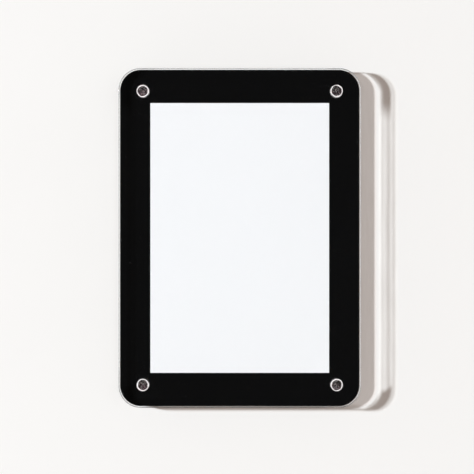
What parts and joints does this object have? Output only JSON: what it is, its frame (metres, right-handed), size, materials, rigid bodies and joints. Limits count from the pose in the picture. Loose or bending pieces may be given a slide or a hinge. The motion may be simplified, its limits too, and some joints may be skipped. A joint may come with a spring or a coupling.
{
  "type": "magnetic photo frame",
  "caption": "Magnetic acrylic photo frame: a clear front plate snaps onto a black back plate over a small picture card.",
  "frame": {"origin": "centre of the back face, which is the lowest face as the frame lies on its back", "axes": "+X is the picture's right, +Y its top, +Z points out of the picture, towards whoever looks at it"},
  "size_m": [0.068, 0.0954, 0.0123],
  "materials": {
    "black_acrylic": "polished opaque black acrylic",
    "clear_acrylic": "polished clear acrylic",
    "card": "smooth white card",
    "nickel": "bright nickel plating on a sintered magnet",
    "adhesive": "cured clear adhesive with fine bubbles"
  },
  "bodies": {
    "back": {"back_plate": "black_acrylic", "back_magnet_top_left": "nickel", "back_magnet_top_right": "nickel", "back_magnet_bottom_left": "nickel", "back_magnet_bottom_right": "nickel", "back_adhesive_top_left": "adhesive", "back_adhesive_top_right": "adhesive", "back_adhesive_bottom_left": "adhesive", "back_adhesive_bottom_right": "adhesive"},
    "front": {"front_plate": "clear_acrylic", "front_magnet_top_left": "nickel", "front_magnet_top_right": "nickel", "front_magnet_bottom_left": "nickel", "front_magnet_bottom_right": "nickel", "front_adhesive_top_left": "adhesive", "front_adhesive_top_right": "adhesive", "front_adhesive_bottom_left": "adhesive", "front_adhesive_bottom_right": "adhesive"},
    "photo": {"photo_card": "card"}
  },
  "joints": [
    {"name": "front_lift", "type": "slide", "parent": "back", "child": "front", "axis": [0, 0, 1], "range_m": [0, 0.03]},
    {"name": "photo_lift", "type": "slide", "parent": "back", "child": "photo", "axis": [0, 0, 1], "range_m": [0, 0.015]}
  ],
  "couplings": [
    {"joint": "photo_lift", "follows": "front_lift", "ratio": 0.5}
  ]
}
